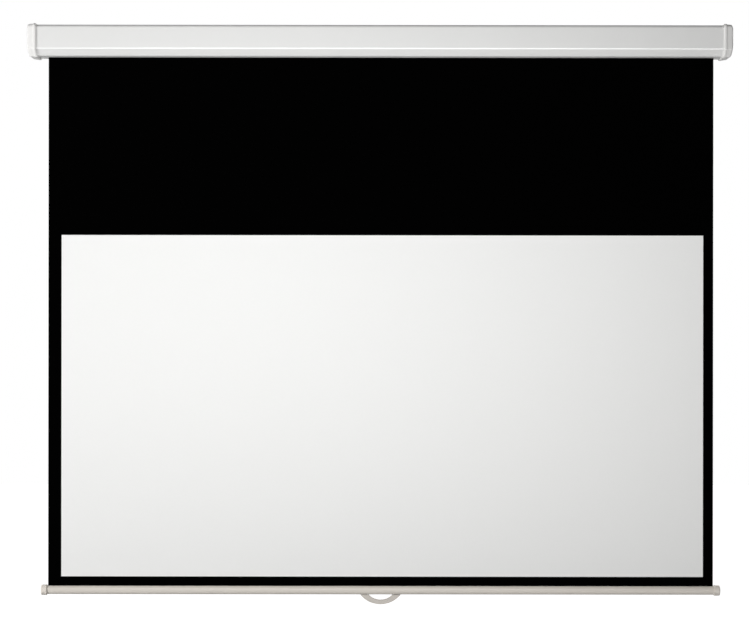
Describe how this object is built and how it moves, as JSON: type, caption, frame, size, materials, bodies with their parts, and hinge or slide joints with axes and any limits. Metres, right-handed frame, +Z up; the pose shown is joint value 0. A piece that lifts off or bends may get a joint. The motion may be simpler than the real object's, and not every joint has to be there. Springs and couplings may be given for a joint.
{
  "type": "projector screen",
  "caption": "Wall-hung pull-down projection screen: spring roller in a slotted case, black-bordered matte white fabric, weight bar and pull handle.",
  "frame": {"origin": "middle of the flat back of the case, where it lies against the wall", "axes": "+X along the case to the right seen from the front, +Y into the wall, +Z up"},
  "size_m": [1.626, 0.079, 1.3456],
  "materials": {
    "white_steel": "white powder-coated rolled steel, fine satin texture",
    "white_moulding": "white satin moulded plastic",
    "ivory_metal": "warm ivory painted tube, satin",
    "ivory_moulding": "warm ivory moulded plastic",
    "zinc_steel": "bright zinc-plated steel",
    "spring_steel": "oiled spring steel",
    "aluminium": "plain extruded aluminium",
    "grey_nylon": "grey moulded nylon",
    "black_nylon": "black moulded nylon",
    "screen_black": "matt black coated screen cloth",
    "screen_white": "matte white projection surface with matt black borders"
  },
  "bodies": {
    "case": {"housing": "white_steel", "end_cap_left": "white_moulding", "end_cap_right": "white_moulding", "ratchet_bracket": "zinc_steel", "cap_screw_left_front": "zinc_steel", "cap_screw_left_back": "zinc_steel", "cap_screw_right_front": "zinc_steel", "cap_screw_right_back": "zinc_steel", "bracket_screw_lower": "zinc_steel", "bracket_screw_upper": "zinc_steel", "spindle": "zinc_steel", "ratchet_wheel": "zinc_steel", "roller_spring": "spring_steel", "spring_anchor": "grey_nylon", "spindle_clip": "spring_steel", "idle_bush": "grey_nylon"},
    "roller": {"roller_tube": "aluminium", "ratchet_plug": "black_nylon", "idle_plug": "black_nylon", "gudgeon_pin": "zinc_steel", "ratchet_rivet": "aluminium", "idle_rivet": "aluminium", "fabric_wraps": "screen_black", "pawl_pin_upper": "zinc_steel", "pawl_pin_lower": "zinc_steel"},
    "pawl_upper": {"pawl_upper": "spring_steel"},
    "pawl_lower": {"pawl_lower": "spring_steel"},
    "screen": {"screen_fabric": "screen_white", "weight_bar": "ivory_metal", "hem_rod": "grey_nylon", "bar_cap_left": "ivory_moulding", "bar_cap_right": "ivory_moulding", "handle_pin": "zinc_steel", "pin_block_left": "grey_nylon", "pin_block_right": "grey_nylon", "block_screw_left": "zinc_steel", "block_screw_right": "zinc_steel"},
    "handle": {"pull_handle": "ivory_moulding"}
  },
  "joints": [
    {"name": "screen_drop", "type": "slide", "parent": "case", "child": "screen", "axis": [0, 0, 1], "range_m": [0, 1.226], "deforming": ["screen_fabric"]},
    {"name": "roller_spin", "type": "hinge", "parent": "case", "child": "roller", "pos_m": [0, -0.04, 0.002], "axis": [1, 0, 0], "range_deg": [0, 3142]},
    {"name": "pawl_upper_swing", "type": "hinge", "parent": "roller", "child": "pawl_upper", "pos_m": [-0.786, -0.04, 0.0162], "axis": [-1, 0, 0], "range_deg": [0, 14]},
    {"name": "pawl_lower_swing", "type": "hinge", "parent": "roller", "child": "pawl_lower", "pos_m": [-0.786, -0.04, -0.0122], "axis": [-1, 0, 0], "range_deg": [0, 14]},
    {"name": "handle_swing", "type": "hinge", "parent": "screen", "child": "handle", "pos_m": [0.0025, -0.01957, -1.278], "axis": [1, 0, 0], "range_deg": [-25, 25]}
  ],
  "couplings": [
    {"joint": "roller_spin", "follows": "screen_drop", "rad_per_m": 44.7}
  ]
}
